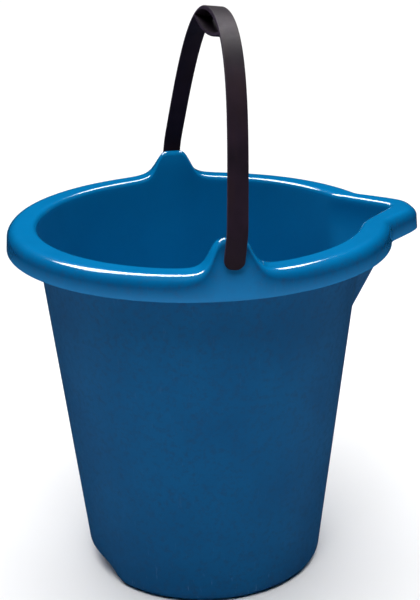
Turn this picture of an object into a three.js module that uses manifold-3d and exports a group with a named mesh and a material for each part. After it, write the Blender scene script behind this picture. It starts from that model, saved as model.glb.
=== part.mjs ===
// A moulded pouring bucket of about 12 litres with a swinging bail handle. Millimetres, +Z up.
// The origin is the centre of the base. +X points to the spout, and the two ears that carry the
// handle rise from the rim at +Y and -Y.
import * as THREE from 'three';
import { mergeVertices } from 'three/addons/utils/BufferGeometryUtils.js';
import Module from 'manifold-3d';

const wasm = await Module();
wasm.setup();

// Bucket
const HEIGHT = 295; // top of the rim
const WALL = 2.2;
const BASE_RADIUS = 97.8; // the wall's outer cone carried down to the floor
const TOP_RADIUS = 132; // the same cone carried up to the rim's top
const BASE_CORNER = 8;
const BASE_THICKNESS = 2.6;
const FOOT_INNER_RADIUS = 74;
const PAD_RADIUS = 24; // flat disc in the middle of the underside
const RECESS = 1.2; // depth of the underside's ring between pad and foot
const NOTCH_DEPTH = 9.5; // hold for the fingers in the base's lower edge, opposite the spout
const NOTCH_FLAT = 19; // degrees from its middle to where it starts to fade
const NOTCH_END = 38; // degrees from its middle to its end
const NOTCH_HEIGHT = 18;

// Rim: a flange with a skirt turned down from its outer edge
const RIM_RADIUS = 153.2; // at the top of the skirt
const SKIRT_HEIGHT = 18.4;
const SKIRT_DRAFT = 0.7; // how much wider the skirt is at its lower edge
const INNER_EDGE = 4.5; // rounding from the inside wall onto the flange
const OUTER_EDGE = 5.5; // rounding from the flange into the skirt

// Ears: bell-shaped humps of the rim, hollow underneath
const EAR_HEIGHT = 23.2;
const EAR_HALF_WIDTH = 15.8; // at half of the height
const BELL_SHARPNESS = 5.3;
const EAR_PINCH = 12; // how far the outer edge leans in at the ear's top
const HOLLOW_NARROWING = 1.2; // how much narrower the hollow is, to each side
const HOLLOW_FLAT = 8; // level part of the hollow's roof, inside its outer rounding

// Spout: a pointed bulge of the rim and, under it, of the wall
const LIP_REACH = 179.9;
const LIP_TIP = 14;
const LIP_SLOPE = 1.11;
const LIP_BLEND = 3;
const CHANNEL_REACH = 161.5; // outside of the channel's ridge, under the flange
const CHANNEL_TIP = 3;
const CHANNEL_SLOPE = 0.93;
const CHANNEL_BLEND = 3;
const CHANNEL_TOE = 195; // height at which the ridge leaves the cone
const CHANNEL_RAKE = 0.54; // how fast the ridge comes out above its toe
const CHANNEL_BEND = 8; // rounding between the raked ridge and its upright top
const CHANNEL_WALL = 2.8;

// Handle: one moulded strap, bent to an arch, with an eye-shaped grip and a stud at each foot
const PIVOT_HEIGHT = 306;
const HANDLE_LEAN = 6.5; // degrees from upright towards the spout, at rest
const STRAP_WIDTH = 15.2;
const STRAP_THICKNESS = 2.6;
const ARCH_HEIGHT = 153.3; // pivot axis to the middle of the strap at the apex
const FOOT_SPREAD = 149.3; // bucket's axis to the middle of the strap at the foot
const FOOT_TOP = 12; // the foot is straight from its end up to here
const FOOT_DROP = 8; // pivot axis to the end of the foot
const FOOT_CORNER = 5;
const CORNER_OVERSHOOT = 0.3; // lets the rounding meet the strap's sides at a clear angle
const FOOT_BEND = 30; // radius of the bend from the foot into the leg
const LEG_LEAN = 26; // degrees, above that bend
const APEX_PULL = 89;
const LEG_PULL = 61;
const BAR_HEIGHT = 134.2; // pivot axis to the underside of the grip's bar, in the middle
const BAR_RADIUS = 240;
const BAR_THICKNESS = 2.6;
const BAR_HALF_SPAN = 54;
const EYE_HALF_SPAN = 48;
const EYE_LAND = 1.6; // half of the eye's straight middle part across the strap
const EYE_FLARE = 4.5; // how much longer the eye is at the strap's faces, at each end
const EYE_LIFT = 0.5; // how much higher and lower it is there
const EYE_BLUNTNESS = 12; // how late the eye's ends start to close
const ARCH_STEPS = 26;
const BEND_STEPS = 6;
const BAR_STEPS = 16;
const EYE_LEVEL = 0.3; // between the inner and the outer rows of the eye's tube
const EDGE = 0.8; // chamfer along the strap
const OVERLAP = 1; // how far joined solids reach into each other, and cutters past a face
const STUD_RADIUS = 3.3;
const STUD_HOLE_RADIUS = 3.6;
const STUD_HOLE_FROM = 138; // the cut goes through the ear between these distances from the axis
const STUD_HOLE_TO = 160;
const STUD_HEAD_RADIUS = 4.3;
const STUD_HEAD_LENGTH = 2.4;
const SHOULDER_RADIUS = 5;
const SHOULDER_LENGTH = 0.9;
const STUD_END = 136; // bucket's axis to the inner end of the stud

const DEG = Math.PI / 180;
const TAPER = (TOP_RADIUS - BASE_RADIUS) / HEIGHT;
const FLANGE_FLOOR = HEIGHT - WALL; // underside of the flange
const OPENING_Z = HEIGHT - INNER_EDGE;
const SKIRT_FOOT_Z = HEIGHT - SKIRT_HEIGHT;

// --- Plan shapes ---------------------------------------------------------------------------

function blendMax(a, b, width) {
  const overlap = Math.max(width - Math.abs(a - b), 0);
  return Math.max(a, b) + (overlap * overlap) / (4 * width);
}

function blendMin(a, b, width) {
  return -blendMax(-a, -b, width);
}

// Distance from the axis to a V with a rounded tip that points along +X.
function wedge(azimuth, reach, slope, tip) {
  const side = Math.abs(Math.sin(azimuth));
  if (Math.cos(azimuth) < side) return 0;
  const rounded = (side ** 4 + (tip / reach) ** 4) ** 0.25;
  return (reach + slope * tip) / (Math.cos(azimuth) + slope * rounded);
}

// Radius of the bucket's wall, inset from its outer face. The spout's channel bulges out of the cone.
function wallRadius(azimuth, z, inset) {
  const cone = BASE_RADIUS + TAPER * z - inset;
  const toe = BASE_RADIUS + TAPER * CHANNEL_TOE;
  const raked = toe + CHANNEL_RAKE * (z - CHANNEL_TOE);
  const ridge = blendMin(raked, CHANNEL_REACH, CHANNEL_BEND) - (inset * CHANNEL_WALL) / WALL;
  return blendMax(cone, wedge(azimuth, ridge, CHANNEL_SLOPE, CHANNEL_TIP), CHANNEL_BLEND);
}

function rimOutline(azimuth) {
  return blendMax(RIM_RADIUS, wedge(azimuth, LIP_REACH, LIP_SLOPE, LIP_TIP), LIP_BLEND);
}

function bell(x, halfWidth) {
  return 1 / (1 + Math.abs(x / halfWidth) ** BELL_SHARPNESS);
}

// --- Bucket --------------------------------------------------------------------------------

// A point of the bucket's section: r and z away from ears and spout. inset is its depth in the wall
// for a wall point; lift says that it rises with the ears, as skin or as the hollow beneath.
function wallPoint(z, inset, lift = 0) {
  return { r: BASE_RADIUS + TAPER * z - inset, z, inset, lift, kind: 'wall' };
}

function arcPoints(kind, centreR, centreZ, radiusR, radiusZ, from, to, steps, extra = {}) {
  return Array.from({ length: steps + 1 }, (_, i) => {
    const turn = (from + ((to - from) * i) / steps) * DEG;
    return { r: centreR + radiusR * Math.cos(turn), z: centreZ + radiusZ * Math.sin(turn), kind, ...extra };
  });
}

const WALL_ROWS = [NOTCH_HEIGHT, 193, 212, 230, 246, 257, 267];

function bucketSection() {
  const openingR = BASE_RADIUS + TAPER * OPENING_Z - WALL;
  const skin = { lift: 1, earHalfWidth: EAR_HALF_WIDTH };
  const hollow = { lift: 1, earHalfWidth: EAR_HALF_WIDTH - HOLLOW_NARROWING };
  const outerEdgeR = RIM_RADIUS - OUTER_EDGE;
  const hollowEdge = OUTER_EDGE - WALL;
  const lean = Math.atan(TAPER) / DEG;
  const cornerR = BASE_RADIUS + TAPER * BASE_CORNER - BASE_CORNER / Math.cos(lean * DEG);
  const insideCorner = BASE_CORNER - WALL;
  const underside = [
    { r: 0, z: 0, kind: 'base' },
    { r: PAD_RADIUS, z: 0, kind: 'base' },
    { r: PAD_RADIUS + RECESS, z: RECESS, kind: 'base' },
    { r: FOOT_INNER_RADIUS - RECESS, z: RECESS, kind: 'base' },
    { r: FOOT_INNER_RADIUS, z: 0, kind: 'base' },
    ...arcPoints('base', cornerR, BASE_CORNER, BASE_CORNER, BASE_CORNER, -90, -lean, 4),
  ];
  const outerWall = WALL_ROWS.map((z) => wallPoint(z, 0));
  const wallTop = { ...wallPoint(FLANGE_FLOOR, 0, 1), ...hollow };
  const underFlange = [
    { r: outerEdgeR - HOLLOW_FLAT, z: FLANGE_FLOOR, kind: 'rim', ...hollow },
    ...arcPoints('rim', outerEdgeR, FLANGE_FLOOR - hollowEdge, hollowEdge, hollowEdge, 90, 0, 2, hollow),
    { r: RIM_RADIUS + SKIRT_DRAFT - WALL, z: SKIRT_FOOT_Z, kind: 'rim', lift: 0 },
  ];
  const overFlange = [
    { r: RIM_RADIUS + SKIRT_DRAFT, z: SKIRT_FOOT_Z, kind: 'rim', lift: 0 },
    ...arcPoints('rim', outerEdgeR, HEIGHT - OUTER_EDGE, OUTER_EDGE, OUTER_EDGE, 0, 90, 4, skin),
    ...arcPoints('rim', openingR + INNER_EDGE, OPENING_Z, INNER_EDGE, INNER_EDGE, 90, 180, 4, skin),
  ];
  const innerWall = WALL_ROWS.map((z) => wallPoint(z, WALL)).reverse();
  const floor = [
    ...arcPoints('base', cornerR, BASE_THICKNESS + insideCorner, insideCorner, insideCorner, -lean, -90, 3),
    { r: 0, z: BASE_THICKNESS, kind: 'base' },
  ];
  return [...underside, ...outerWall, wallTop, ...underFlange, ...overFlange, ...innerWall, ...floor];
}

// Azimuths from the spout round to the back, closer together at the spout and at the ear.
function halfTurn() {
  const spans = [[0, 6, 4], [6, 13, 4], [13, 21, 6], [21, 30, 3], [30, 77, 8], [77, 103, 13], [103, 180, 13]];
  const steps = spans.flatMap(([from, to, count]) =>
    Array.from({ length: count }, (_, i) => (from + ((to - from) * i) / count) * DEG));
  return [...steps, Math.PI];
}

function fullTurn() {
  const half = halfTurn();
  const back = half.slice(1, -1).reverse().map((azimuth) => 2 * Math.PI - azimuth);
  return [...half, ...back, 2 * Math.PI];
}

// Radius of a rim point: both roundings keep their size, and the flat between them stretches.
function rimRadius(point, opening, edge) {
  const openingR = BASE_RADIUS + TAPER * OPENING_Z - WALL;
  const flatFrom = openingR + INNER_EDGE;
  const flatTo = RIM_RADIUS - OUTER_EDGE;
  if (point.r <= flatFrom) return opening + point.r - openingR;
  if (point.r >= flatTo) return edge + point.r - RIM_RADIUS;
  const share = (point.r - flatFrom) / (flatTo - flatFrom);
  return THREE.MathUtils.lerp(opening + INNER_EDGE, edge - OUTER_EDGE, share);
}

// How far the hold for the fingers goes in at a point of the base: full at the foot, nothing at its top.
function notchDepth(azimuth, { r, z }) {
  if (r <= FOOT_INNER_RADIUS) return 0;
  const fade = Math.max(1 - z / NOTCH_HEIGHT, 0);
  const aside = Math.abs(azimuth - Math.PI) / DEG;
  return NOTCH_DEPTH * fade * (1 - THREE.MathUtils.smoothstep(aside, NOTCH_FLAT, NOTCH_END));
}

function placeSectionPoint(point, azimuth) {
  if (point.kind === 'base') return [point.r - notchDepth(azimuth, point), point.z];
  const opening = wallRadius(azimuth, OPENING_Z, WALL);
  const outline = rimOutline(azimuth);
  const onWall = point.kind === 'wall';
  let radius = onWall ? wallRadius(azimuth, point.z, point.inset) : rimRadius(point, opening, outline);
  if (!point.lift) return [radius, point.z];
  const rise = bell(radius * Math.cos(azimuth), point.earHalfWidth);
  const pinch = EAR_PINCH * bell(radius * Math.cos(azimuth), EAR_HALF_WIDTH);
  const lean = TAPER * EAR_HEIGHT * rise;
  radius = onWall ? radius + lean : rimRadius(point, opening + lean, outline - pinch);
  return [radius, point.z + EAR_HEIGHT * rise];
}

function bucketGeometry() {
  const section = bucketSection();
  const azimuths = fullTurn();
  const lathePoints = section.map(({ r, z }) => new THREE.Vector2(r, z));
  const geometry = new THREE.LatheGeometry(lathePoints, azimuths.length - 1);
  const position = geometry.attributes.position;
  azimuths.forEach((azimuth, column) => {
    section.forEach((point, row) => {
      const [radius, z] = placeSectionPoint(point, azimuth);
      const turn = column === azimuths.length - 1 ? 0 : azimuth;
      position.setXYZ(column * section.length + row, radius * Math.cos(turn), radius * Math.sin(turn), z);
    });
  });
  return geometry;
}

// --- Solids --------------------------------------------------------------------------------

function toManifold(geometry) {
  const bare = geometry.index ? geometry.clone() : geometry;
  bare.deleteAttribute('normal');
  bare.deleteAttribute('uv');
  const merged = mergeVertices(bare, 1e-3);
  const index = merged.index.array;
  const triangles = [];
  for (let i = 0; i < index.length; i += 3) {
    const [a, b, c] = [index[i], index[i + 1], index[i + 2]];
    if (a !== b && b !== c && c !== a) triangles.push(a, b, c);
  }
  const mesh = new wasm.Mesh({
    numProp: 3,
    vertProperties: new Float32Array(merged.attributes.position.array),
    triVerts: new Uint32Array(triangles),
  });
  return new wasm.Manifold(mesh);
}

function toGeometry(solid) {
  const mesh = solid.getMesh();
  const geometry = new THREE.BufferGeometry();
  geometry.setAttribute('position', new THREE.BufferAttribute(mesh.vertProperties, 3));
  geometry.setIndex(new THREE.BufferAttribute(mesh.triVerts, 1));
  geometry.computeVertexNormals();
  return geometry;
}

function crossCylinder(radius, from, to) {
  const geometry = new THREE.CylinderGeometry(radius, radius, to - from, 20);
  return toManifold(geometry.translate(0, (from + to) / 2, 0));
}

function bucketSolid() {
  const hole = (side) => {
    const span = [side * STUD_HOLE_FROM, side * STUD_HOLE_TO].sort((a, b) => a - b);
    return crossCylinder(STUD_HOLE_RADIUS, ...span).translate([0, 0, PIVOT_HEIGHT]);
  };
  return toManifold(bucketGeometry()).subtract(hole(1)).subtract(hole(-1));
}

// --- Handle --------------------------------------------------------------------------------

// The handle is drawn upright round its pivot axis: x runs across the bucket, y up the strap.
function legCurve() {
  const lean = LEG_LEAN * DEG;
  const inward = FOOT_BEND * (1 - Math.cos(lean));
  const end = new THREE.Vector2(FOOT_SPREAD - inward, FOOT_TOP + FOOT_BEND * Math.sin(lean));
  return new THREE.CubicBezierCurve(
    new THREE.Vector2(0, ARCH_HEIGHT),
    new THREE.Vector2(APEX_PULL, ARCH_HEIGHT),
    new THREE.Vector2(end.x - LEG_PULL * Math.sin(lean), end.y + LEG_PULL * Math.cos(lean)),
    end,
  );
}

// Half of the arch from the apex to the foot's end, offset outwards from the strap's middle.
function archSide(offset) {
  const curve = legCurve();
  const points = [];
  for (let i = 0; i < ARCH_STEPS; i += 1) {
    const tangent = curve.getTangent(i / ARCH_STEPS);
    const middle = curve.getPoint(i / ARCH_STEPS);
    points.push(new THREE.Vector2(middle.x - offset * tangent.y, middle.y + offset * tangent.x));
  }
  for (let i = BEND_STEPS; i >= 0; i -= 1) {
    const turn = (LEG_LEAN * DEG * i) / BEND_STEPS;
    const centreX = FOOT_SPREAD - FOOT_BEND;
    const radius = FOOT_BEND + offset;
    points.push(new THREE.Vector2(centreX + radius * Math.cos(turn), FOOT_TOP + radius * Math.sin(turn)));
  }
  points.push(new THREE.Vector2(FOOT_SPREAD + offset, -FOOT_DROP));
  return points;
}

// Height of the grip bar's underside at x.
function barHeight(x) {
  return BAR_HEIGHT + BAR_RADIUS - Math.sqrt(BAR_RADIUS ** 2 - x ** 2);
}

function heightOn(points, x) {
  const next = points.findIndex((point) => point.x > x);
  const share = (x - points[next - 1].x) / (points[next].x - points[next - 1].x);
  return THREE.MathUtils.lerp(points[next - 1].y, points[next].y, share);
}

// The hole between the arch's underside and the bar's top, with blunt ends, flared to both faces.
function eyeSolid() {
  const underArch = archSide(-STRAP_THICKNESS / 2);
  const geometry = new THREE.CylinderGeometry(1, 1, 1, 4 * BAR_STEPS, 3);
  const position = geometry.attributes.position;
  for (let i = 0; i < position.count; i += 1) {
    const level = position.getY(i);
    const flare = Math.abs(level) > EYE_LEVEL ? 1 : 0;
    const rim = Math.hypot(position.getX(i), position.getZ(i));
    const turn = Math.atan2(position.getZ(i), position.getX(i));
    const share = rim * Math.sign(Math.cos(turn)) * Math.sqrt(Math.abs(Math.cos(turn)));
    const y = EYE_HALF_SPAN * share;
    const roof = heightOn(underArch, Math.abs(y)) + EYE_LIFT * flare;
    const sill = barHeight(y) + BAR_THICKNESS - EYE_LIFT * flare;
    const close = rim * Math.sign(Math.sin(turn)) * Math.sqrt(1 - Math.abs(share) ** EYE_BLUNTNESS);
    const x = -Math.sign(level) * (flare ? STRAP_WIDTH / 2 + EDGE : EYE_LAND);
    position.setXYZ(i, x, y + EYE_FLARE * flare * share, (roof + sill) / 2 + (close * (roof - sill)) / 2);
  }
  return toManifold(geometry);
}

function mirrored(points) {
  return points.map(({ x, y }) => new THREE.Vector2(-x, y));
}

// Turns a drawing's x, y and depth into the bucket's Y, Z and X.
function standAcross(geometry) {
  const turn = new THREE.Matrix4().set(0, 0, 1, 0, 1, 0, 0, 0, 0, 1, 0, 0, 0, 0, 0, 1);
  return geometry.applyMatrix4(turn);
}

function strapSolid(shape) {
  const geometry = new THREE.ExtrudeGeometry(shape, {
    depth: STRAP_WIDTH - 2 * EDGE,
    bevelThickness: EDGE,
    bevelSize: EDGE,
    bevelOffset: -EDGE,
    bevelSegments: 1,
    curveSegments: ARCH_STEPS,
  });
  return toManifold(standAcross(geometry.translate(0, 0, EDGE - STRAP_WIDTH / 2)));
}

// Arch and grip bar as one solid: the bar closes the arch's top, and the eye is cut through it.
function archSolid() {
  const outer = archSide(STRAP_THICKNESS / 2);
  const inner = archSide(-STRAP_THICKNESS / 2);
  const leg = inner.filter((point) => point.x > BAR_HALF_SPAN).reverse();
  const bar = Array.from({ length: BAR_STEPS + 1 }, (_, i) => {
    const x = BAR_HALF_SPAN * (1 - (2 * i) / BAR_STEPS);
    return new THREE.Vector2(x, barHeight(x));
  });
  const outline = [
    ...mirrored(outer).reverse(),
    ...outer.slice(1),
    ...leg,
    ...bar,
    ...mirrored(leg).reverse(),
  ];
  return strapSolid(new THREE.Shape(outline)).subtract(eyeSolid());
}

// What is cut from one lower corner of both feet to round it.
function cornerCutter() {
  const half = STRAP_WIDTH / 2;
  const centre = new THREE.Vector2(half - FOOT_CORNER, FOOT_CORNER - FOOT_DROP);
  const shape = new THREE.Shape();
  shape.moveTo(half + OVERLAP, -FOOT_DROP - OVERLAP);
  shape.lineTo(half + OVERLAP, centre.y);
  shape.absarc(centre.x, centre.y, FOOT_CORNER + CORNER_OVERSHOOT, 0, -Math.PI / 2, true);
  shape.lineTo(centre.x, -FOOT_DROP - OVERLAP);
  const reach = FOOT_SPREAD + 10 * OVERLAP;
  const options = { depth: 2 * reach, bevelEnabled: false, curveSegments: 6 };
  const geometry = new THREE.ExtrudeGeometry(shape, options);
  geometry.translate(0, 0, -reach);
  return toManifold(geometry.rotateX(Math.PI / 2));
}

// The stud on the inside of a foot: a shoulder against the ear, a neck in the ear's hole and a head.
function studSolid() {
  const face = FOOT_SPREAD - STRAP_THICKNESS / 2;
  const neck = crossCylinder(STUD_RADIUS, STUD_END + OVERLAP, face + OVERLAP);
  const head = crossCylinder(STUD_HEAD_RADIUS, STUD_END, STUD_END + STUD_HEAD_LENGTH);
  const shoulder = crossCylinder(SHOULDER_RADIUS, face - SHOULDER_LENGTH, face + OVERLAP);
  return neck.add(head).add(shoulder);
}

function handleSolid() {
  const cutter = cornerCutter();
  const stud = studSolid();
  return archSolid()
    .subtract(cutter)
    .subtract(cutter.mirror([1, 0, 0]))
    .add(stud)
    .add(stud.mirror([0, 1, 0]));
}

// --- Assembly ------------------------------------------------------------------------------

const bluePlastic = new THREE.MeshStandardMaterial({ color: 0x0a5aa0, roughness: 0.35, metalness: 0 });
const blackPlastic = new THREE.MeshStandardMaterial({ color: 0x1c1a20, roughness: 0.45, metalness: 0 });

function bucketMesh() {
  const mesh = new THREE.Mesh(toGeometry(bucketSolid()), bluePlastic);
  mesh.name = 'bucket_body';
  return mesh;
}

function handleMesh() {
  const mesh = new THREE.Mesh(toGeometry(handleSolid()), blackPlastic);
  mesh.name = 'bail_handle';
  mesh.position.z = PIVOT_HEIGHT;
  mesh.rotation.y = HANDLE_LEAN * DEG;
  return mesh;
}

const feedBucket = new THREE.Group();
feedBucket.add(bucketMesh(), handleMesh());
export default feedBucket;
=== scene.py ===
"""Feed bucket: a moulded pouring bucket with a wide rolled rim and a swinging bail handle.

The two moulded parts are rebuilt as fine smooth meshes on the CAD bodies. Lengths in the shape code
are millimetres. The origin is the centre of the base, +X points to the spout and +Z is up.
"""

import math

import bmesh
import bpy
import numpy as np
from mathutils import Matrix, Quaternion, Vector


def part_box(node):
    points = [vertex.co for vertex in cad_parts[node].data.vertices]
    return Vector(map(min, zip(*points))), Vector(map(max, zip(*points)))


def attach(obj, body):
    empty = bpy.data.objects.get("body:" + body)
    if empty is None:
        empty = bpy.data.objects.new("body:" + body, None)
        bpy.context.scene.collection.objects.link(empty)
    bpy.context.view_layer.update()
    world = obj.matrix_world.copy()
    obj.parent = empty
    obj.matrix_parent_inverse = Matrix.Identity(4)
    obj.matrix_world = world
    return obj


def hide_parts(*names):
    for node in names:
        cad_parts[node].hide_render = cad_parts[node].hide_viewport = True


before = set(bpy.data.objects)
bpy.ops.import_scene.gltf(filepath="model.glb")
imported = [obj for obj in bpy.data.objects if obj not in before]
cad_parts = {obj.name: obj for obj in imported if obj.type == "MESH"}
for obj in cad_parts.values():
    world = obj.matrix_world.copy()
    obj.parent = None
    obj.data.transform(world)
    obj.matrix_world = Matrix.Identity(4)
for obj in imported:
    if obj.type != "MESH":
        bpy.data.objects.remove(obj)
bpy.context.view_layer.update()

MM = 0.001
DEG = math.pi / 180

# Bucket
HEIGHT = 295.0  # top of the rim
WALL = 2.2
BASE_RADIUS = 97.8  # the wall's outer cone carried down to the floor
TOP_RADIUS = 132.0  # the same cone carried up to the rim's top
BASE_CORNER = 8.0
BASE_THICKNESS = 2.6
FOOT_INNER_RADIUS = 74.0
PAD_RADIUS = 24.0  # flat disc in the middle of the underside
RECESS = 1.2  # depth of the underside's ring between pad and foot
NOTCH_DEPTH = 9.5  # hold for the fingers in the base's lower edge, opposite the spout
NOTCH_FLAT = 19.0  # degrees from its middle to where it starts to fade
NOTCH_END = 38.0  # degrees from its middle to its end
NOTCH_HEIGHT = 18.0

# Gate mark: a dimple in the pad with a nub in its middle
GATE_RADIUS = 6.0
GATE_DEPTH = 0.9
GATE_DRAFT = 0.6
NUB_RADIUS = 1.6
NUB_HEIGHT = 0.5
NUB_DRAFT = 0.4

# Rim: a flange with a skirt turned down from its outer edge
RIM_RADIUS = 153.2  # at the top of the skirt
SKIRT_HEIGHT = 18.4
SKIRT_DRAFT = 0.7  # how much wider the skirt is at its lower edge
SKIRT_EDGE = 0.8
INNER_EDGE = 4.5  # rounding from the inside wall onto the flange
OUTER_EDGE = 5.5  # rounding from the flange into the skirt
OUTER_SOFTENING = 3.2  # how much further that rounding reaches away from the ears

# Ears: bell-shaped humps of the rim, hollow underneath
EAR_HEIGHT = 23.2
EAR_HALF_WIDTH = 15.8  # at half of the height
EAR_PINCH = 12.0  # how far the outer edge leans in at the ear's top
EAR_FOOT_Z = 267.0  # the wall stretches up into the ears from here
BELL_SHARPNESS = 5.3
HOLLOW_NARROWING = 1.2  # how much narrower the hollow is, to each side
HOLLOW_FLAT = 8.0  # level part of the hollow's roof, inside its outer rounding

# Spout: a pointed bulge of the rim and, under it, of the wall
LIP_REACH = 179.9  # axis to the lip's tip
LIP_TIP = 14.0  # size of the tip's rounding
LIP_SLOPE = 1.11  # how fast the lip's sides fall back from its tip
LIP_BLEND = 3.0  # width of the blend into the round rim
CHANNEL_REACH = 161.5  # outside of the channel's ridge, under the flange
CHANNEL_TIP = 3.0
CHANNEL_SLOPE = 0.93
CHANNEL_BLEND = 3.0
CHANNEL_TOE = 195.0  # height at which the ridge leaves the cone
CHANNEL_RAKE = 0.54  # how fast the ridge comes out above its toe
CHANNEL_BEND = 8.0  # rounding between the raked ridge and its upright top
CHANNEL_WALL = 2.8

# Handle: one moulded strap, bent to an arch, with an eye-shaped grip
PIVOT_HEIGHT = 306.0
HANDLE_LEAN = 6.5  # degrees from upright towards the spout, at rest
STRAP_WIDTH = 15.2
STRAP_THICKNESS = 2.6
STRAP_EDGE = 1.0  # rounding along the strap
ARCH_HEIGHT = 153.3  # pivot axis to the middle of the strap at the apex
FOOT_SPREAD = 149.3  # bucket's axis to the middle of the strap at the foot
FOOT_TOP = 12.0  # the foot is straight from its end up to here
FOOT_DROP = 8.0  # pivot axis to the end of the foot
FOOT_CORNER = 7.0
FOOT_SIDE = 0.4  # what the rounding leaves of a foot corner's height at the strap's sides
FOOT_BEND = 30.0  # radius of the bend from the foot into the leg
LEG_LEAN = 26.0  # degrees, above that bend
APEX_PULL = 89.0
LEG_PULL = 61.0
BAR_HEIGHT = 134.2  # pivot axis to the underside of the grip's bar, in the middle
BAR_RADIUS = 240.0
BAR_THICKNESS = 2.6
BAR_FILLET = 3.0
BAR_HALF_SPAN = 2 * BAR_HEIGHT / 3  # further out than the bar reaches
EYE_HALF_SPAN = 48.0
EYE_LAND = 1.6  # half of the eye's straight middle part across the strap
EYE_FLARE = 4.5  # how much longer the eye is at the strap's faces, at each end
EYE_LIFT = 0.5  # how much higher and lower it is there
EYE_BLUNTNESS = 12  # how late the eye's ends start to close

# Studs: on the inside of the feet, through the ears' holes
STUD_END = 136.0  # bucket's axis to the inner end of the stud
STUD_RADIUS = 3.3
STUD_HOLE_RADIUS = 3.6
STUD_HOLE_SPAN = (138.0, 160.0)  # the cut goes through the ear between these distances
STUD_SINK = 0.7  # how far the stud reaches into the strap
HEAD_RADIUS = 4.3
HEAD_LENGTH = 2.4
HEAD_FRONT = ((0, 1.2), (0.25, 0.6), (0.8, 0.1), (1.4, 0))  # rounding: along the stud, off the radius
HEAD_BACK = ((-0.3, 0.1), (0, 0.4))
SHOULDER_RADIUS = 5.0
SHOULDER_LENGTH = 0.9
SHOULDER_EDGE = 0.3

HOLLOW_HALF_WIDTH = EAR_HALF_WIDTH - HOLLOW_NARROWING
TAPER = (TOP_RADIUS - BASE_RADIUS) / HEIGHT
FLANGE_FLOOR = HEIGHT - WALL  # underside of the flange
OPENING_Z = HEIGHT - INNER_EDGE
OPENING_RADIUS = BASE_RADIUS + TAPER * OPENING_Z - WALL
SKIRT_FOOT_Z = HEIGHT - SKIRT_HEIGHT

# Material slots of the bucket, and how far its colour goes from the wall's to the rim's, which is
# painted light: a lighter blue painted where the rim faces up and on the inside
POLISHED = 0
SATIN = 1
CORE_PAINTED_LIGHT = 0.8  # painted light on the inside of the wall
PAINTED_LIGHT_FALLOFF = 1.5  # how fast the painted light on the rim fades down its outer rounding, darker where it turns away from above

# Fineness of the meshes: millimetres, degrees and counts
COLUMNS = 480
WALL_STEP = 12.0
RIM_STEP = 3.0
ROUND_STEP = 9.0
EAR_STEPS = 8
ARCH_STEPS = 110
BEND_STEPS = 14
FOOT_STEPS = 9
TIP_STEPS = 8
EYE_STEPS = 120
EDGE_STEPS = 6
STUD_STEPS = 64
CROSS_POSITIONS = (5.9, 5.0, 4.0, 2.8, EYE_LAND)  # rows across the strap, from its middle


# --- Plan shapes ----------------------------------------------------------------------------

def blend_max(a, b, width):
    """The larger of two numbers, with a rounding where they are nearly equal."""
    overlap = np.maximum(width - np.abs(a - b), 0)
    return np.maximum(a, b) + overlap ** 2 / (4 * width)


def blend_min(a, b, width):
    return -blend_max(-a, -b, width)


def wedge(azimuth, reach, slope, tip):
    """Distance from the axis to a V with a rounded tip along +X, and 0 beyond 45 degrees from it."""
    side = np.abs(np.sin(azimuth))
    ahead = np.cos(azimuth)
    rounded = (side ** 4 + (tip / reach) ** 4) ** 0.25
    distance = (reach + slope * tip) / (np.maximum(ahead, side) + slope * rounded)
    return np.where(ahead < side, 0, distance)


def wall_radius(azimuth, z, inset):
    """Radius of the wall, inset from its outer face. The spout's channel bulges out of the cone."""
    cone = BASE_RADIUS + TAPER * z - inset
    toe = BASE_RADIUS + TAPER * CHANNEL_TOE
    raked = toe + CHANNEL_RAKE * (z - CHANNEL_TOE)
    ridge = blend_min(raked, CHANNEL_REACH, CHANNEL_BEND) - inset * CHANNEL_WALL / WALL
    return blend_max(cone, wedge(azimuth, ridge, CHANNEL_SLOPE, CHANNEL_TIP), CHANNEL_BLEND)


def rim_outline(azimuth):
    return blend_max(RIM_RADIUS, wedge(azimuth, LIP_REACH, LIP_SLOPE, LIP_TIP), LIP_BLEND)


def bell(x, half_width):
    return 1 / (1 + np.abs(x / half_width) ** BELL_SHARPNESS)


def smoothstep(value, start, end):
    share = np.clip((value - start) / (end - start), 0, 1)
    return share * share * (3 - 2 * share)


# --- Bucket ---------------------------------------------------------------------------------

def row(kind, r, z, **extra):
    """A point of the bucket's section, on its base, wall or rim.

    lift is the share of an ear's height that it takes part in, and half_width is that ear's.
    inset is its distance from the wall's outer face, and soft the way it moves where the rim's
    outer rounding is softened. finish and the two marks after it are for the material. Those two are
    painted light: a lighter blue painted where the rim faces up and on the inside, and a painted
    highlight along the skirt's lower edge.
    """
    point = dict(kind=kind, r=r, z=z, lift=0.0, half_width=EAR_HALF_WIDTH, inset=0.0, soft=(0, 0))
    point.update(finish=SATIN, tone=0.0, edge=0.0)
    point.update(extra)
    return point


def wall_rows(heights, inset):
    """Wall points, outside or, with an inset, inside. They stretch up into the ears."""
    half_width = EAR_HALF_WIDTH if inset else HOLLOW_HALF_WIDTH
    # the inside of the wall gets painted light, a lighter blue
    tone = CORE_PAINTED_LIGHT if inset else 0.0
    rows = []
    for z in heights:
        r = BASE_RADIUS + TAPER * z - inset
        lift = max(z - EAR_FOOT_Z, 0) / (FLANGE_FLOOR - EAR_FOOT_Z)
        rows.append(row("wall", r, z, lift=lift, half_width=half_width, inset=inset, tone=tone))
    return rows


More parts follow.
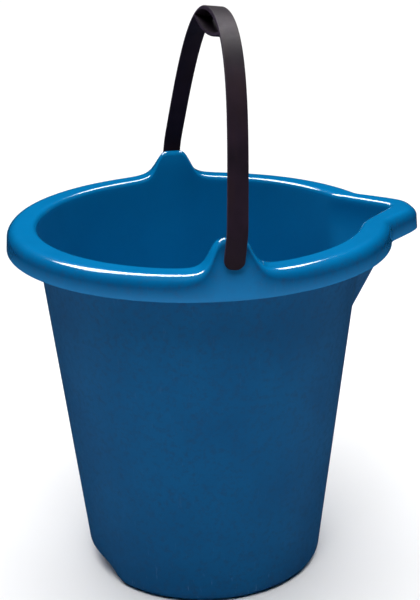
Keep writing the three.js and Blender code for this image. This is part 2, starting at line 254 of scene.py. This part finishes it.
def arc_rows(kind, centre, radius, start, end, soft=False, tone=None, **extra):
    """Rows along an arc, in degrees. Without a share of painted light given, the painted light fades
    from the arc's top down, lighter where the arc faces up.
    """
    steps = max(2, math.ceil(abs(end - start) / ROUND_STEP))
    rows = []
    for i in range(steps + 1):
        turn = (start + (end - start) * i / steps) * DEG
        across = math.cos(turn)
        up = math.sin(turn)
        point = row(kind, centre[0] + radius * across, centre[1] + radius * up, **extra)
        point["soft"] = (across - 1, up - 1) if soft else (0, 0)
        # painted light: the colour is lighter where the arc faces up
        point["tone"] = max(up, 0) ** PAINTED_LIGHT_FALLOFF if tone is None else tone
        rows.append(point)
    return rows


def base_section():
    """The underside from its centre to the foot ring's inner edge: gate mark, pad and recess."""
    nub_z = GATE_DEPTH - NUB_HEIGHT
    return [
        row("base", 0, nub_z),
        row("base", NUB_RADIUS, nub_z),
        row("base", NUB_RADIUS + NUB_DRAFT, GATE_DEPTH),
        row("base", GATE_RADIUS - GATE_DRAFT, GATE_DEPTH),
        row("base", GATE_RADIUS, 0),
        row("base", PAD_RADIUS, 0),
        row("base", PAD_RADIUS + RECESS, RECESS),
        row("base", FOOT_INNER_RADIUS - RECESS, RECESS),
        row("base", FOOT_INNER_RADIUS, 0),
    ]


def rim_section():
    """From the hollow under the flange round the skirt to the top of the inside wall."""
    outer_r = RIM_RADIUS - OUTER_EDGE
    hollow_edge = OUTER_EDGE - WALL
    hollow_centre = (outer_r, FLANGE_FLOOR - hollow_edge)
    edge_z = SKIRT_FOOT_Z + SKIRT_EDGE
    skirt_in = (RIM_RADIUS + SKIRT_DRAFT - WALL + SKIRT_EDGE, edge_z)
    skirt_out = (RIM_RADIUS + SKIRT_DRAFT - SKIRT_EDGE, edge_z)
    outer_centre = (outer_r, HEIGHT - OUTER_EDGE)
    inner_centre = (OPENING_RADIUS + INNER_EDGE, OPENING_Z)
    hollow = dict(lift=1.0, half_width=HOLLOW_HALF_WIDTH)
    # painted highlight along the skirt's lower edge
    edge = dict(edge=1.0, tone=0, finish=POLISHED)
    shiny = dict(lift=1.0, finish=POLISHED)
    return [
        row("rim", outer_r - HOLLOW_FLAT, FLANGE_FLOOR, **hollow),
        *arc_rows("rim", hollow_centre, hollow_edge, 90, 0, soft=True, tone=0, **hollow),
        *arc_rows("rim", skirt_in, SKIRT_EDGE, 180, 270, **edge),
        *arc_rows("rim", skirt_out, SKIRT_EDGE, 270, 360, **edge),
        # the outer and inner roundings carry painted light, lighter towards their tops
        *arc_rows("rim", outer_centre, OUTER_EDGE, 0, 90, soft=True, **shiny),
        *arc_rows("rim", inner_centre, INNER_EDGE, 90, 180, tone=1, **shiny),
    ]


def bucket_section():
    """The whole section, from the underside's centre round the rim to the centre of the inside."""
    lean = math.atan(TAPER) / DEG
    corner_r = BASE_RADIUS + TAPER * BASE_CORNER - BASE_CORNER / math.cos(lean * DEG)
    inside_corner = BASE_CORNER - WALL
    inside_centre = (corner_r, BASE_THICKNESS + inside_corner)
    lower = [*np.arange(NOTCH_HEIGHT, EAR_FOOT_Z, WALL_STEP), EAR_FOOT_Z]
    upper = list(np.linspace(EAR_FOOT_Z, OPENING_Z, EAR_STEPS + 1))[1:-1]
    return [
        *base_section(),
        *arc_rows("base", (corner_r, BASE_CORNER), BASE_CORNER, -90, -lean, tone=0),
        *wall_rows(lower + upper + [FLANGE_FLOOR], 0),
        *rim_section(),
        *wall_rows(upper[::-1] + lower[::-1], WALL),
        # painted light on the inside of the base, as on the inside wall
        *arc_rows("base", inside_centre, inside_corner, -lean, -90, tone=CORE_PAINTED_LIGHT),
        row("base", GATE_RADIUS, BASE_THICKNESS, tone=CORE_PAINTED_LIGHT),
        row("base", 0, BASE_THICKNESS, tone=CORE_PAINTED_LIGHT),
    ]


def rim_radius(r, opening, edge):
    """Both roundings keep their size, and the flat between them stretches."""
    flat_from = OPENING_RADIUS + INNER_EDGE
    flat_to = RIM_RADIUS - OUTER_EDGE
    if r <= flat_from:
        return opening + r - OPENING_RADIUS
    if r >= flat_to:
        return edge + r - RIM_RADIUS
    share = (r - flat_from) / (flat_to - flat_from)
    return (opening + INNER_EDGE) * (1 - share) + (edge - OUTER_EDGE) * share


def notch_depth(azimuth, r, z):
    """How far the hold for the fingers goes into the base's lower edge, opposite the spout."""
    if r <= FOOT_INNER_RADIUS:
        return np.zeros_like(azimuth)
    fade = max(1 - z / NOTCH_HEIGHT, 0)
    aside = np.abs(azimuth - math.pi) / DEG
    return NOTCH_DEPTH * fade * (1 - smoothstep(aside, NOTCH_FLAT, NOTCH_END))


def place(point, azimuth):
    """Radius and height of one section point at every azimuth."""
    r, z, lift = point["r"], point["z"], point["lift"]
    if point["kind"] == "base":
        return r - notch_depth(azimuth, r, z), np.full_like(azimuth, z)
    opening = wall_radius(azimuth, OPENING_Z, WALL)
    outline = rim_outline(azimuth)
    on_wall = point["kind"] == "wall"
    radius = wall_radius(azimuth, z, point["inset"]) if on_wall else rim_radius(r, opening, outline)
    rise = lift * bell(radius * np.cos(azimuth), point["half_width"])
    pinch = lift * EAR_PINCH * bell(radius * np.cos(azimuth), EAR_HALF_WIDTH)
    lean = TAPER * EAR_HEIGHT * rise
    radius = radius + lean if on_wall else rim_radius(r, opening + lean, outline - pinch)
    softer = OUTER_SOFTENING * (1 - bell(radius * np.cos(azimuth), 2 * EAR_HALF_WIDTH))
    out, up = point["soft"]
    return radius + softer * out, z + EAR_HEIGHT * rise + softer * up


def bucket_rings():
    """Rings of points round the bucket, each with its finish, its share of painted light and its
    painted edge highlight.

    Where two section points are far apart, more rings go between them.
    """
    azimuth = np.arange(COLUMNS) * 2 * math.pi / COLUMNS
    rings = []
    for point in bucket_section():
        radius, z = place(point, azimuth)
        ring = np.stack([radius * np.cos(azimuth), radius * np.sin(azimuth), z], 1)
        marks = np.array([point["finish"], point["tone"], point["edge"]])
        if rings:
            last, last_marks = rings[-1]
            gap = np.linalg.norm(ring - last, axis=1).max()
            step = RIM_STEP if point["kind"] == "rim" else 2 * WALL_STEP
            count = math.ceil(gap / step)
            for i in range(1, count):
                share = i / count
                between = last * (1 - share) + ring * share
                rings.append((between, last_marks * (1 - share) + marks * share))
        rings.append((ring, marks))
    return rings


def keep_inside(points, node):
    """Shrinks points a hair where they would pass the CAD node's box."""
    low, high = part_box(node)
    for axis in range(3):
        limit = max(abs(low[axis]), abs(high[axis]))
        reach = np.abs(points[:, axis]).max()
        points[:, axis] *= min(1, limit / reach)
    return points


def new_object(name, vertices, faces):
    mesh = bpy.data.meshes.new(name)
    mesh.from_pydata([tuple(v) for v in vertices], [], faces)
    obj = bpy.data.objects.new(name, mesh)
    bpy.context.scene.collection.objects.link(obj)
    return obj


def add_attribute(obj, name, values):
    attribute = obj.data.attributes.new(name, "FLOAT", "POINT")
    attribute.data.foreach_set("value", np.array(values, np.float32))


def bucket_shell():
    """The bucket as one closed surface, with a single point at either end of its rings."""
    rings = bucket_rings()
    last = len(rings) - 1
    points, marks, faces, finishes, starts = [], [], [], [], []
    for number, (ring, mark) in enumerate(rings):
        chosen = ring[:1] if number in (0, last) else ring
        starts.append(len(points))
        points.extend(chosen)
        marks.extend([mark] * len(chosen))
    for number in range(last):
        a, b = starts[number], starts[number + 1]
        both = rings[number][1][0] + rings[number + 1][1][0]
        finishes += [POLISHED if both < SATIN else SATIN] * COLUMNS
        for i in range(COLUMNS):
            j = (i + 1) % COLUMNS
            if number == 0:
                faces.append((a, b + j, b + i))
            elif number == last - 1:
                faces.append((a + i, a + j, b))
            else:
                faces.append((a + i, a + j, b + j, b + i))
    shell = new_object("bucket_shell", keep_inside(np.array(points) * MM, "bucket_body"), faces)
    shell.data.materials.append(blue_plastic("blue_polished", **POLISHED_LOOK))
    shell.data.materials.append(blue_plastic("blue_satin", **SATIN_LOOK))
    shell.data.polygons.foreach_set("material_index", finishes)
    # painted light and the painted edge highlight, for the material
    add_attribute(shell, "tone", [mark[1] for mark in marks])
    add_attribute(shell, "edge", [mark[2] for mark in marks])
    face_out(shell)
    return shell


def turned(name, profile, side):
    """A body turned round the Y axis from (distance along it, radius) pairs, closed at both ends."""
    turns = np.arange(STUD_STEPS) * 2 * math.pi / STUD_STEPS
    points, faces = [], []
    for y, radius in profile:
        points += [(radius * math.cos(t), side * y, radius * math.sin(t)) for t in turns]
    for ring in range(len(profile) - 1):
        a, b = ring * STUD_STEPS, (ring + 1) * STUD_STEPS
        for i in range(STUD_STEPS):
            j = (i + 1) % STUD_STEPS
            faces.append((a + i, b + i, b + j, a + j))
    faces.append(tuple(range(STUD_STEPS)))
    faces.append(tuple(reversed(range(len(points) - STUD_STEPS, len(points)))))
    body = new_object(name, np.array(points) * MM, faces)
    face_out(body)
    return body


def face_out(obj):
    mesh = bmesh.new()
    mesh.from_mesh(obj.data)
    bmesh.ops.recalc_face_normals(mesh, faces=mesh.faces)
    mesh.to_mesh(obj.data)
    mesh.free()


def combine(obj, other, operation):
    """Joins other to obj, or cuts it from obj, and removes other."""
    modifier = obj.modifiers.new("combine", "BOOLEAN")
    modifier.object = other
    modifier.operation = operation
    modifier.solver = "EXACT"
    bpy.context.view_layer.update()
    evaluated = obj.evaluated_get(bpy.context.evaluated_depsgraph_get())
    mesh = bpy.data.meshes.new_from_object(evaluated)
    obj.modifiers.clear()
    obj.data = mesh
    bpy.data.objects.remove(other)


def make_bucket():
    shell = bucket_shell()
    for side in (1, -1):
        hole = turned("hole", [(y, STUD_HOLE_RADIUS) for y in STUD_HOLE_SPAN], side)
        hole.location.z = PIVOT_HEIGHT * MM
        combine(shell, hole, "DIFFERENCE")
    return shell


# --- Handle ---------------------------------------------------------------------------------

def bezier(corners, t):
    """Points of a Bezier curve at the parameters t."""
    degree = len(corners) - 1
    return sum(
        math.comb(degree, k) * (1 - t) ** (degree - k) * t ** k * corners[k] for k in range(degree + 1))


def arch_side(offset):
    """Half of the arch, apex to foot, as (across, up) points offset outwards from its middle."""
    lean = LEG_LEAN * DEG
    leg_foot = np.array([
        FOOT_SPREAD - FOOT_BEND * (1 - math.cos(lean)),
        FOOT_TOP + FOOT_BEND * math.sin(lean),
    ])
    leg_pull = LEG_PULL * np.array([-math.sin(lean), math.cos(lean)])
    corners = np.array([(0, ARCH_HEIGHT), (APEX_PULL, ARCH_HEIGHT), leg_foot + leg_pull, leg_foot])
    t = (np.arange(ARCH_STEPS) / ARCH_STEPS)[:, None]
    slope = bezier(np.diff(corners, axis=0), t)
    slope /= np.linalg.norm(slope, axis=1)[:, None]
    curve = bezier(corners, t) + offset * np.stack([-slope[:, 1], slope[:, 0]], 1)
    turn = lean * np.linspace(1, 0, BEND_STEPS + 1)
    radius = FOOT_BEND + offset
    across = FOOT_SPREAD - FOOT_BEND + radius * np.cos(turn)
    bend = np.stack([across, FOOT_TOP + radius * np.sin(turn)], 1)
    heights = np.linspace(FOOT_TOP, STRAP_THICKNESS / 2 - FOOT_DROP, FOOT_STEPS + 1)[1:]
    foot = np.stack([np.full_like(heights, FOOT_SPREAD + offset), heights], 1)
    return np.concatenate([curve, bend, foot])


def bar_height(y):
    """Height of the grip bar's underside."""
    return BAR_HEIGHT + BAR_RADIUS - np.sqrt(BAR_RADIUS ** 2 - y ** 2)


def strap_outline():
    """The handle's closed outline, with the bar's underside filleted into the legs."""
    half = STRAP_THICKNESS / 2
    outer = arch_side(half)
    inner = arch_side(-half)
    under_bar = bar_height(np.minimum(inner[:, 0], BAR_HALF_SPAN))
    filleted = blend_min(inner[:, 1], under_bar, BAR_FILLET)
    inner[:, 1] = np.where(inner[:, 0] < BAR_HALF_SPAN, filleted, inner[:, 1])
    turn = np.linspace(0, -math.pi, TIP_STEPS + 1)[1:-1]
    tip = np.stack([FOOT_SPREAD + half * np.cos(turn), half - FOOT_DROP + half * np.sin(turn)], 1)
    right = np.concatenate([outer, tip, inner[::-1]])
    left = right[1:-1][::-1] * (-1, 1)
    return np.concatenate([right, left])


def eye_outline(flare):
    """The hole between arch and bar, with blunt ends. flare makes it longer and higher."""
    turn = np.arange(EYE_STEPS) * 2 * math.pi / EYE_STEPS
    share = np.sign(np.cos(turn)) * np.sqrt(np.abs(np.cos(turn)))
    y = EYE_HALF_SPAN * share
    inner = arch_side(-STRAP_THICKNESS / 2)
    roof = np.interp(np.abs(y), inner[:, 0], inner[:, 1]) + EYE_LIFT * flare
    sill = bar_height(y) + BAR_THICKNESS - EYE_LIFT * flare
    close = np.sign(np.sin(turn)) * np.sqrt(np.maximum(1 - np.abs(share) ** EYE_BLUNTNESS, 0))
    height = (roof + sill) / 2 + close * (roof - sill) / 2
    return np.stack([y + EYE_FLARE * flare * share, height], 1)


def moved_right(loop, distance):
    """A closed loop moved along its own normals, to the right of its direction."""
    ahead = np.roll(loop, -1, 0) - np.roll(loop, 1, 0)
    ahead /= np.linalg.norm(ahead, axis=1)[:, None]
    return loop + distance * np.stack([ahead[:, 1], -ahead[:, 0]], 1)


def strap_levels():
    """Positions across the strap's width, each with the inset of its rounded edge."""
    half = STRAP_WIDTH / 2
    turns = np.linspace(0, 90, EDGE_STEPS + 1) * DEG
    upper = [(half - STRAP_EDGE * (1 - math.cos(t)), STRAP_EDGE * (1 - math.sin(t))) for t in turns]
    upper += [(x, 0.0) for x in CROSS_POSITIONS]
    return upper + [(-x, inset) for x, inset in reversed(upper)]


def foot_corner(points, x):
    """Rounds the foot's lower corners: the strap's end moves up towards its sides."""
    over = np.clip(abs(x) - STRAP_WIDTH / 2 + FOOT_CORNER, 0, FOOT_CORNER)
    rise = FOOT_CORNER - math.sqrt(FOOT_CORNER ** 2 - over ** 2)
    down = np.clip((FOOT_CORNER - FOOT_DROP - points[:, 1]) / FOOT_CORNER, 0, 1)
    return points + np.stack([0 * down, down * min(rise, FOOT_CORNER - FOOT_SIDE)], 1)


def tube_faces(start, count, width, levels):
    """Faces between one loop of points and the same loop on the next level."""
    faces = []
    for level in range(levels - 1):
        a = level * width + start
        b = a + width
        for i in range(count):
            j = (i + 1) % count
            faces.append((a + i, a + j, b + j, b + i))
    return faces


def strap_body():
    """The strap as levels across its width, with an outline and an eye on each.

    Near the strap's faces the outline draws in and the eye's edge closes in by the same inset.
    """
    outline = strap_outline()
    levels = strap_levels()
    points, marks = [], []
    for x, inset in levels:
        spread = max(abs(x) - EYE_LAND, 0) / (STRAP_WIDTH / 2 - EYE_LAND)
        outer = foot_corner(moved_right(outline, inset), x)
        eye = moved_right(eye_outline(spread ** 2), -inset)
        points += [(x, y, z) for y, z in np.concatenate([outer, eye])]
        # edge marks where the rubbed wear and the painted edge highlight go
        marks += [inset / STRAP_EDGE] * (len(outer) + len(eye))
    width = len(outline) + EYE_STEPS
    faces = tube_faces(0, len(outline), width, len(levels))
    faces += tube_faces(len(outline), EYE_STEPS, width, len(levels))
    strap = new_object("handle_strap", np.array(points) * MM, faces)
    add_attribute(strap, "edge", marks)
    mesh = bmesh.new()
    mesh.from_mesh(strap.data)
    open_edges = [e for e in mesh.edges if e.is_boundary]
    for side in (1, -1):
        face_edges = [e for e in open_edges if e.verts[0].co.x * side > 0]
        bmesh.ops.triangle_fill(mesh, use_beauty=True, use_dissolve=False, edges=face_edges)
    bmesh.ops.recalc_face_normals(mesh, faces=mesh.faces)
    mesh.to_mesh(strap.data)
    mesh.free()
    return strap


def stud_profile():
    """The stud's section from its inner end out to the strap: head, neck and shoulder."""
    face = FOOT_SPREAD - STRAP_THICKNESS / 2
    shoulder = face - SHOULDER_LENGTH
    head_end = STUD_END + HEAD_LENGTH
    return [
        *[(STUD_END + along, HEAD_RADIUS - off) for along, off in HEAD_FRONT],
        *[(head_end + along, HEAD_RADIUS - off) for along, off in HEAD_BACK],
        (head_end, STUD_RADIUS),
        (shoulder, STUD_RADIUS),
        (shoulder, SHOULDER_RADIUS - SHOULDER_EDGE),
        (shoulder + SHOULDER_EDGE, SHOULDER_RADIUS),
        (face + STUD_SINK, SHOULDER_RADIUS),
    ]


def make_handle():
    strap = strap_body()
    for side in (1, -1):
        combine(strap, turned("stud", stud_profile(), side), "UNION")
    lean = Matrix.Rotation(HANDLE_LEAN * DEG, 4, "Y")
    strap.data.transform(Matrix.Translation((0, 0, PIVOT_HEIGHT * MM)) @ lean)
    strap.data.materials.append(black_plastic())
    return strap


# --- Materials ------------------------------------------------------------------------------

WALL_BLUE = (0.001, 0.09, 0.245, 1)
WALL_BLUE_DEEP = (0.001, 0.074, 0.21, 1)
WALL_BLUE_DULL = (0.009, 0.06, 0.165, 1)
# painted light: a lighter blue painted on the rim's top and the inside, where light falls
PAINTED_LIT_BLUE = (0.001, 0.19, 0.46, 1)
PAINTED_LIT_BLUE_DEEP = (0.001, 0.172, 0.42, 1)
# painted highlight along the bucket's moulded edges
PAINTED_EDGE_HIGHLIGHT_BLUE = (0.03, 0.26, 0.6, 1)
SCUFF_BLUE = (0.12, 0.26, 0.48, 1)
BLACK = (0.01, 0.007, 0.011, 1)
BLACK_PURPLE = (0.018, 0.011, 0.019, 1)
BLACK_BROWN = (0.022, 0.012, 0.012, 1)
# rubbed wear and painted highlight along the handle's edges
BLACK_RUBBED_AND_SHEEN = (0.075, 0.055, 0.095, 1)
FLOOR_WHITE = (0.88, 0.88, 0.88, 1)
FLOOR_SHADE = (0.86, 0.86, 0.865, 1)
SKY_WHITE = (0.9, 0.95, 1, 1)

# The rim comes from a polished part of the mould and the wall from a satin one
POLISHED_LOOK = dict(specular=0.6, roughness=(0.1, 0.15), grain_depth=0.03)
SATIN_LOOK = dict(specular=0.07, roughness=(0.48, 0.6), grain_depth=0.25)
BLACK_SPECULAR = 0.05
BLACK_ROUGHNESS = (0.42, 0.54)
POLYETHYLENE_IOR = 1.52
POLYPROPYLENE_IOR = 1.5
PAINTED_EDGE_HIGHLIGHT_SHARE = 0.5  # painted highlight: how far a moulded edge goes to the lighter edge blue
SCUFF_TOP = 0.05  # metres above the floor, over which the scuffs thin out
FLOOR_ROUGHNESS = 0.85
FLOOR_SPECULAR = 0.1
SEED_WAY = (1, 1.7, 0.6)  # the way in which a seed moves a noise


class Nodes:
    """Short forms for building a material's node tree."""

    def __init__(self, name):
        self.material = bpy.data.materials.new(name)
        self.material.use_nodes = True
        self.tree = self.material.node_tree
        self.shader = self.tree.nodes["Principled BSDF"]
        coordinates = self.tree.nodes.new("ShaderNodeTexCoord")
        self.place = coordinates.outputs["Object"]

    def new(self, kind, inputs=None, **settings):
        node = self.tree.nodes.new(kind)
        for key, value in settings.items():
            setattr(node, key, value)
        for key, value in (inputs or {}).items():
            self.put(value, node.inputs[key])
        return node

    def put(self, value, socket):
        if isinstance(value, bpy.types.NodeSocket):
            self.tree.links.new(value, socket)
        else:
            socket.default_value = value

    def noise(self, scale, detail, seed, stretch=(1, 1, 1), roughness=0.55):
        shift = [seed * way for way in SEED_WAY]
        mapping = self.new(
            "ShaderNodeMapping", {"Vector": self.place, "Scale": stretch, "Location": shift})
        texture = self.new("ShaderNodeTexNoise", {
            "Vector": mapping.outputs["Vector"],
            "Scale": scale,
            "Detail": detail,
            "Roughness": roughness,
        })
        return texture.outputs["Fac"]

    def span(self, value, source, target=(0.0, 1.0)):
        """Maps the source's two values to the target's, and stops at both."""
        node = self.new("ShaderNodeMapRange", {
            "Value": value,
            "From Min": source[0],
            "From Max": source[1],
            "To Min": target[0],
            "To Max": target[1],
        })
        return node.outputs["Result"]

    def multiply(self, a, b):
        node = self.new("ShaderNodeMath", operation="MULTIPLY")
        self.put(a, node.inputs[0])
        self.put(b, node.inputs[1])
        return node.outputs["Value"]

    def mix(self, share, a, b):
        node = self.new("ShaderNodeMix", data_type="RGBA")
        self.put(share, node.inputs["Factor"])
        self.put(a, node.inputs["A"])
        self.put(b, node.inputs["B"])
        return node.outputs["Result"]

    def attribute(self, name):
        return self.new("ShaderNodeAttribute", attribute_name=name).outputs["Fac"]

    def bump(self, height, distance, strength, normal=None):
        node = self.new(
            "ShaderNodeBump", {"Height": height, "Distance": distance, "Strength": strength})
        if normal is not None:
            self.put(normal, node.inputs["Normal"])
        return node.outputs["Normal"]


def blue_plastic(name, specular, roughness, grain_depth):
    """Moulded polyethylene with flow marks, faint mottling and scuffs near the floor, and painted
    light: a lighter blue where the rim faces up and on the inside, and a painted highlight along the
    skirt's lower edge.
    """
    n = Nodes(name)
    tone = n.attribute("tone")
    edge = n.attribute("edge")
    height = n.new("ShaderNodeSeparateXYZ", {"Vector": n.place}).outputs["Z"]
    clouds = n.noise(scale=14, detail=4, seed=0.3)
    mottle = n.noise(scale=210, detail=5, seed=1.1, roughness=0.7)
    flow = n.noise(scale=9, detail=3, seed=2.2, stretch=(5, 5, 0.5))
    scratch = n.noise(scale=60, detail=2, seed=3.4, stretch=(9, 9, 0.7))
    cloud_share = n.span(clouds, (0.35, 0.65))
    colour = n.mix(cloud_share, WALL_BLUE, WALL_BLUE_DEEP)
    colour = n.mix(n.span(mottle, (0.48, 0.68), (0, 0.8)), colour, WALL_BLUE_DULL)
    colour = n.mix(n.span(flow, (0.45, 0.7), (0, 0.3)), colour, WALL_BLUE_DEEP)
    # painted light: lighter blue where the rim faces up and on the inside
    colour = n.mix(tone, colour, n.mix(cloud_share, PAINTED_LIT_BLUE, PAINTED_LIT_BLUE_DEEP))
    # painted highlight along the skirt's lower edge
    colour = n.mix(n.multiply(edge, PAINTED_EDGE_HIGHLIGHT_SHARE), colour, PAINTED_EDGE_HIGHLIGHT_BLUE)
    low_down = n.span(height, (SCUFF_TOP, 0), (0.05, 0.35))
    worn = n.multiply(n.span(scratch, (0.66, 0.74)), low_down)
    n.put(n.mix(worn, colour, SCUFF_BLUE), n.shader.inputs["Base Color"])
    n.put(n.span(mottle, (0.3, 0.7), roughness), n.shader.inputs["Roughness"])
    waves = n.bump(n.noise(scale=22, detail=2, seed=5.0), distance=0.0006, strength=0.35)
    grain = n.noise(scale=1400, detail=2, seed=4.0)
    n.put(n.bump(grain, 0.00015, grain_depth, waves), n.shader.inputs["Normal"])
    n.shader.inputs["IOR"].default_value = POLYETHYLENE_IOR
    n.shader.inputs["Specular IOR Level"].default_value = specular
    return n.material


def black_plastic():
    """Moulded polypropylene, near black, with flow marks, fine grain and rubbed edges, painted lighter
    both as wear and as a painted highlight along the edges.
    """
    n = Nodes("black_polypropylene")
    edge = n.attribute("edge")
    clouds = n.noise(scale=30, detail=4, seed=0.9)
    flow = n.noise(scale=26, detail=3, seed=1.9, stretch=(3, 0.6, 0.6))
    rub = n.noise(scale=240, detail=4, seed=2.7, roughness=0.6)
    colour = n.mix(n.span(clouds, (0.35, 0.68)), BLACK, BLACK_PURPLE)
    colour = n.mix(n.span(flow, (0.5, 0.75), (0, 0.5)), colour, BLACK_BROWN)
    # lighter edges: partly rubbed wear, partly a painted edge highlight
    wear_and_sheen = n.multiply(n.span(edge, (0, 0.9)), n.span(rub, (0.4, 0.7), (0.25, 0.8)))
    n.put(n.mix(wear_and_sheen, colour, BLACK_RUBBED_AND_SHEEN), n.shader.inputs["Base Color"])
    n.put(n.span(rub, (0.3, 0.7), BLACK_ROUGHNESS), n.shader.inputs["Roughness"])
    waves = n.bump(n.noise(scale=60, detail=2, seed=3.5), distance=0.0003, strength=0.3)
    grain = n.noise(scale=1600, detail=2, seed=4.4)
    n.put(n.bump(grain, 0.0001, 0.2, waves), n.shader.inputs["Normal"])
    n.shader.inputs["IOR"].default_value = POLYPROPYLENE_IOR
    n.shader.inputs["Specular IOR Level"].default_value = BLACK_SPECULAR
    return n.material


def floor_finish():
    n = Nodes("pale_floor")
    speckle = n.span(n.noise(scale=3, detail=3, seed=0.2), (0.3, 0.7))
    n.put(n.mix(speckle, FLOOR_WHITE, FLOOR_SHADE), n.shader.inputs["Base Color"])
    n.shader.inputs["Roughness"].default_value = FLOOR_ROUGHNESS
    n.shader.inputs["Specular IOR Level"].default_value = FLOOR_SPECULAR
    return n.material


# --- Pieces ---------------------------------------------------------------------------------

SHARP_ANGLE = 32  # degrees


def finish_piece(obj, body, node):
    obj.data.shade_smooth()
    obj.data.set_sharp_from_angle(angle=SHARP_ANGLE * DEG)
    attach(obj, body)
    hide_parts(node)


finish_piece(make_bucket(), "bucket", "bucket_body")
finish_piece(make_handle(), "handle", "bail_handle")


# --- Studio, in metres ----------------------------------------------------------------------

FLOOR_HALF = 60.0
FLOOR_DROP = 0.0003
SKY_STRENGTH = 3.9
SKY_SPREAD = 80  # degrees
SKY_TILT = 12  # degrees
RIM_CENTRE = (0, 0, HEIGHT * MM)


def make_floor():
    corners = [(x, y, -FLOOR_DROP) for x, y in (
        (-FLOOR_HALF, -FLOOR_HALF),
        (FLOOR_HALF, -FLOOR_HALF),
        (FLOOR_HALF, FLOOR_HALF),
        (-FLOOR_HALF, FLOOR_HALF),
    )]
    floor = new_object("floor", corners, [(0, 1, 2, 3)])
    floor.data.materials.append(floor_finish())
    floor.visible_glossy = False


def area_light(name, place, target, size, power, seen_by):
    """A rectangular light that only the named kind of ray sees, diffuse or glossy."""
    data = bpy.data.lights.new(name, "AREA")
    data.shape = "RECTANGLE"
    data.size, data.size_y = size
    data.energy = power
    light = bpy.data.objects.new(name, data)
    bpy.context.scene.collection.objects.link(light)
    light.location = place
    light.rotation_euler = (Vector(target) - Vector(place)).to_track_quat("-Z", "Y").to_euler()
    light.visible_diffuse = seen_by == "diffuse"
    light.visible_glossy = seen_by == "glossy"


def make_sky():
    """A wide sun lights the scene, and the camera sees a plain bright world behind it."""
    data = bpy.data.lights.new("sky", "SUN")
    data.energy = SKY_STRENGTH
    data.angle = SKY_SPREAD * DEG
    sun = bpy.data.objects.new("sky", data)
    sun.rotation_euler = (-SKY_TILT * DEG, 0, 0)
    sun.visible_glossy = False
    bpy.context.scene.collection.objects.link(sun)
    world = bpy.data.worlds.new("studio")
    world.use_nodes = True
    background = world.node_tree.nodes["Background"]
    background.inputs["Color"].default_value = SKY_WHITE
    background.inputs["Strength"].default_value = 1.0
    bpy.context.scene.world = world
    world.cycles_visibility.diffuse = False
    world.cycles_visibility.glossy = False


make_floor()
area_light(
    "streak", place=(-0.1, 0.85, 1.75), target=(-0.02, 0, 0.295), size=(1.9, 0.65), power=76,
    seen_by="glossy")
area_light(
    "high_fill", place=(-0.3, -1.15, 2.1), target=RIM_CENTRE, size=(0.9, 0.6), power=18,
    seen_by="diffuse")
make_sky()


# --- Camera: placed round the bucket by azimuth and elevation, then turned to frame it --------

DISTANCE = 1.10887
AIM_HEIGHT = 0.14757
ELEVATION = 23.304
AZIMUTH = 9.4
PAN = -0.4103
TILT = 3.7271
ROLL = 1.202
SENSOR = 36.0
LENS = 79.1664


def make_camera():
    away = Vector((0, -math.cos(ELEVATION * DEG), math.sin(ELEVATION * DEG)))
    ahead = -away
    right = ahead.cross(Vector((0, 0, 1))).normalized()
    up = right.cross(ahead)
    pan = Quaternion(up, PAN * DEG)
    ahead, right = pan @ ahead, pan @ right
    tilt = Quaternion(right, TILT * DEG)
    ahead, up = tilt @ ahead, tilt @ up
    roll = Quaternion(ahead, ROLL * DEG)
    right, up = roll @ right, roll @ up
    turn = Matrix((right, up, -ahead)).transposed().to_4x4()
    place_matrix = Matrix.Translation(Vector((0, 0, AIM_HEIGHT)) + away * DISTANCE)
    data = bpy.data.cameras.new("camera")
    data.sensor_fit = "VERTICAL"
    data.sensor_height = SENSOR
    data.lens = LENS
    camera = bpy.data.objects.new("camera", data)
    camera.matrix_world = Matrix.Rotation(-AZIMUTH * DEG, 4, "Z") @ place_matrix @ turn
    bpy.context.scene.collection.objects.link(camera)
    bpy.context.scene.camera = camera


make_camera()
bpy.context.scene.view_settings.view_transform = "Standard"
